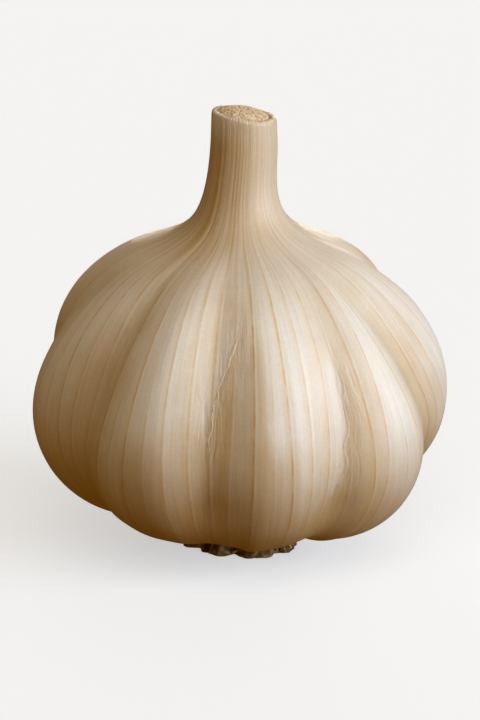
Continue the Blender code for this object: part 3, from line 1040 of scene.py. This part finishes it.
def skin_material():
    """Papery skin: cream and tan along its fibres, with golden veins, and painted highlights and shade
    on its crowns, creases, veins and tears.
    """
    n = Nodes("garlic_skin")
    fibre = n.add("ShaderNodeAttribute", attribute_name="fibre").outputs["Vector"]
    position = n.add("ShaderNodeTexCoord").outputs["Object"]
    names = ("crease", "neck", "foot", "cut", "torn", "tear_highlight", "golden", "veil")
    crease, neck, foot, cut, torn, tear_highlight, golden_and_shade, veil = map(n.attribute, names)

    # Cream with broad tan patches and faint streaks that run with the fibres, a painted highlight
    # on the crowns, painted shade in the creases, golden bands that are partly painted shade, and a
    # painted highlight beside the tears
    patches = n.noise(n.along(fibre, 22.0), 3.4, 3.0, 0.55)
    streaks = n.noise(n.along(fibre, 2.4), 13.0, 4.0, 0.55, 0.1)
    hairs = n.noise(n.along(fibre, 1.2), 62.0, 3.0, 0.6, 0.1)
    mottle = n.noise(position, 150.0, 3.0, 0.55)
    colour = n.mix(n.ramp(patches, 0.45, 0.8, 0.0, 0.35), CREAM, TAN)
    colour = n.layers(colour, (
        (veil, 0.1, 1.0, 0.34, TAN),
        (veil, 0.3, 0.0, 0.2, PALE),
        (mottle, 0.48, 0.7, 0.28, TAN),
        (mottle, 0.48, 0.3, 0.35, PALE),
        (streaks, 0.45, 0.75, 0.3, TAN),
        (streaks, 0.46, 0.22, 0.45, PALE),
        # Painted highlight on the crowns, away from the creases, then painted shade in the creases
        (crease, 0.3, 0.0, 0.5, PALE),
        (crease, 0.1, 0.95, 0.6, CREASE_SHADE_TAN),
        # Golden bands, partly the skin's own tone and partly painted shade, with the painted shade
        # right of each tear
        (golden_and_shade, 0.0, 1.0, 0.7, CREASE_SHADE_TAN),
        # Painted highlight left of the tears
        (tear_highlight, 0.0, 1.0, 0.48, PALE),
    ))

    # Browner towards the neck and the roots. Part of the neck's brown is painted shade on its side
    # away from the key lamp, and the brown on one back clove's top is painted shade
    neck_streaks = n.noise(n.along(fibre, 1.5), 5.5, 4.0, 0.7)
    neck_share = n.times(neck, n.ramp(neck_streaks, 0.3, 0.7, 0.68, 1.0))
    colour = n.mix(neck_share, colour, NECK_TAN)
    fine_streaks = n.noise(n.along(fibre, 1.6), 21.0, 3.0, 0.6, 0.15)
    colour = n.mix(n.times(neck, n.ramp(fine_streaks, 0.5, 0.68, 0.0, 0.65)), colour, NECK_TAN)
    colour = n.mix(n.times(neck, n.ramp(fine_streaks, 0.46, 0.3, 0.0, 0.6)), colour, NECK_PALE)
    foot_share = n.times(foot, n.ramp(patches, 0.25, 0.7, 0.8, 1.0))
    colour = n.mix(foot_share, colour, FOOT_BROWN)

    # Fine fibres, as faint light and dark hairlines
    hair_tone = n.ramp(hairs, 0.3, 0.7, 0.955, 1.03)
    grain = n.noise(position, 2300.0, 2.0, 0.6)
    grain_tone = n.ramp(grain, 0.3, 0.7, 0.97, 1.02)
    colour = n.mix(1.0, colour, n.grey(n.times(hair_tone, grain_tone)), "MULTIPLY")

    # The veins. The cut edge is a dry tan, and the torn edges are paler
    colour = vein_layers(n, colour, fibre, neck, foot)
    rim_specks = n.noise(position, 1700.0, 3.0, 0.6)
    rim_tan = n.mix(n.ramp(rim_specks, 0.35, 0.65), RIM_TAN, CREAM)
    colour = n.mix(n.times(cut, 0.65), colour, rim_tan)
    colour = n.mix(n.times(torn, 0.05), colour, PALE)
    n.shade("Base Color", colour)

    n.shade("Roughness", n.ramp(streaks, 0.25, 0.8, 0.42, 0.56))
    n.shade("IOR", 1.45)
    n.shade("Specular IOR Level", 0.8)
    n.shade("Subsurface Weight", 0.12)
    n.shade("Subsurface Radius", (1.0, 0.55, 0.25))
    n.shade("Subsurface Scale", 1.6 * MM)

    n.shade("Normal", skin_normal(n, position, fibre, neck, hairs, streaks, fine_streaks))
    return n.material


def stalk_material():
    """Dry pith, tan with brown and pale specks."""
    n = Nodes("dry_stalk")
    position = n.add("ShaderNodeTexCoord").outputs["Object"]
    tone = n.attribute("tone")
    specks = n.noise(position, 3600.0, 3.0, 0.65)
    patches = n.noise(position, 1100.0, 2.0, 0.5)
    colour = n.mix(n.ramp(tone, 0.1, 0.9), STALK_BROWN, STALK_TAN)
    colour = n.layers(colour, (
        (patches, 0.4, 0.65, 0.35, STALK_PALE),
        (specks, 0.52, 0.7, 0.7, STALK_PALE),
        (specks, 0.45, 0.3, 0.6, STALK_BROWN),
    ))
    n.shade("Base Color", colour)
    n.shade("Roughness", n.ramp(specks, 0.3, 0.7, 0.95, 0.75))
    n.shade("Normal", n.bump(specks, STALK_DEPTH, 0.6))
    return n.material


def root_material():
    """Corky brown root, dark in its hollows with painted shade."""
    n = Nodes("corky_root")
    position = n.add("ShaderNodeTexCoord").outputs["Object"]
    tone = n.attribute("tone")
    grain = n.noise(position, 1500.0, 4.0, 0.65)
    colour = n.mix(n.ramp(tone, 0.05, 1.0), ROOT_DARK, ROOT_TAN)
    colour = n.layers(colour, (
        (grain, 0.5, 0.72, 0.45, ROOT_BROWN),
        (grain, 0.42, 0.28, 0.6, ROOT_DARK),
    ))
    n.shade("Base Color", colour)
    n.shade("Roughness", n.ramp(grain, 0.3, 0.7, 0.75, 0.95))
    n.shade("Normal", n.bump(grain, ROOT_DEPTH, 0.8))
    return n.material


# ---- stage

def make_floor():
    """A pale floor that glows a little, so that its shadow stays faint."""
    mesh = bpy.data.meshes.new("floor")
    shape = bmesh.new()
    bmesh.ops.create_circle(shape, cap_ends=True, segments=96, radius=FLOOR_RADIUS)
    shape.to_mesh(mesh)
    shape.free()
    floor = add_object("floor", mesh)
    n = Nodes("pale_floor")
    n.shade("Base Color", FLOOR_COLOUR)
    n.shade("Roughness", 0.9)
    n.shade("Specular IOR Level", 0.1)
    n.shade("Emission Color", FLOOR_GLOW)
    n.shade("Emission Strength", FLOOR_GLOW_STRENGTH)
    mesh.materials.append(n.material)
    floor.visible_diffuse = False
    floor.visible_glossy = False


def make_world():
    """A pale surround for the camera, and a dim warm light that is brown from below."""
    world = bpy.data.worlds.new("studio")
    bpy.context.scene.world = world
    world.use_nodes = True
    nodes = world.node_tree.nodes
    background = nodes["Background"]
    seen = nodes.new("ShaderNodeBackground")
    seen.inputs["Color"].default_value = SURROUND
    path = nodes.new("ShaderNodeLightPath")
    mix = nodes.new("ShaderNodeMixShader")
    place = nodes.new("ShaderNodeTexCoord")
    split = nodes.new("ShaderNodeSeparateXYZ")
    scale = nodes.new("ShaderNodeMapRange")
    scale.inputs["From Min"].default_value = -1.0
    ramp = nodes.new("ShaderNodeValToRGB")
    for output, socket in (
        (path.outputs["Is Camera Ray"], mix.inputs[0]),
        (background.outputs[0], mix.inputs[1]),
        (seen.outputs[0], mix.inputs[2]),
        (mix.outputs[0], nodes["World Output"].inputs["Surface"]),
        (place.outputs["Generated"], split.inputs[0]),
        (split.outputs["Z"], scale.inputs["Value"]),
        (scale.outputs[0], ramp.inputs[0]),
        (ramp.outputs[0], background.inputs["Color"]),
    ):
        world.node_tree.links.new(output, socket)
    stops = ramp.color_ramp.elements
    stops.new(0.5)
    for stop, (position, colour) in zip(stops, WORLD_COLOURS):
        stop.position = position
        stop.color = (*colour, 1.0)


def add_sun(name, azimuth, elevation, strength, spread, colour):
    """A soft lamp that shines on the bulb from this azimuth and elevation."""
    light = bpy.data.lights.new(name, "SUN")
    light.energy = strength
    light.angle = math.radians(spread)
    light.color = colour
    lamp = add_object(name, light)
    turn, rise = math.radians(azimuth), math.radians(elevation)
    level = math.cos(rise)
    towards = Vector((level * math.sin(turn), -level * math.cos(turn), math.sin(rise)))
    lamp.location = towards
    lamp.rotation_euler = towards.to_track_quat("Z", "Y").to_euler()


def make_camera():
    data = bpy.data.cameras.new("camera")
    data.lens = LENS
    camera = add_object("camera", data)
    back = Vector((0.0, -math.cos(VIEW_ELEVATION), math.sin(VIEW_ELEVATION)))
    camera.location = VIEW_CENTRE + back * VIEW_DISTANCE
    camera.rotation_euler = back.to_track_quat("Z", "Y").to_euler()
    data.clip_start = 0.01
    bpy.context.scene.camera = camera


def finish_piece(piece, material, node=None):
    """Gives a piece its material and its body, and hides the CAD part it stands for."""
    piece.data.materials.append(material)
    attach(piece, "root")
    if node:
        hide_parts(node)


def main():
    bpy.context.scene.view_settings.view_transform = "Standard"
    make_camera()
    make_world()
    make_floor()
    for lamp in LAMPS:
        add_sun(*lamp)

    paper = skin_material()
    finish_piece(make_skin(), paper, "bulb")
    finish_piece(make_torn_edges(), paper)
    finish_piece(make_stalk_end(), stalk_material(), "stalk_core")
    finish_piece(make_root_tuft(), root_material(), "root_plate")


main()
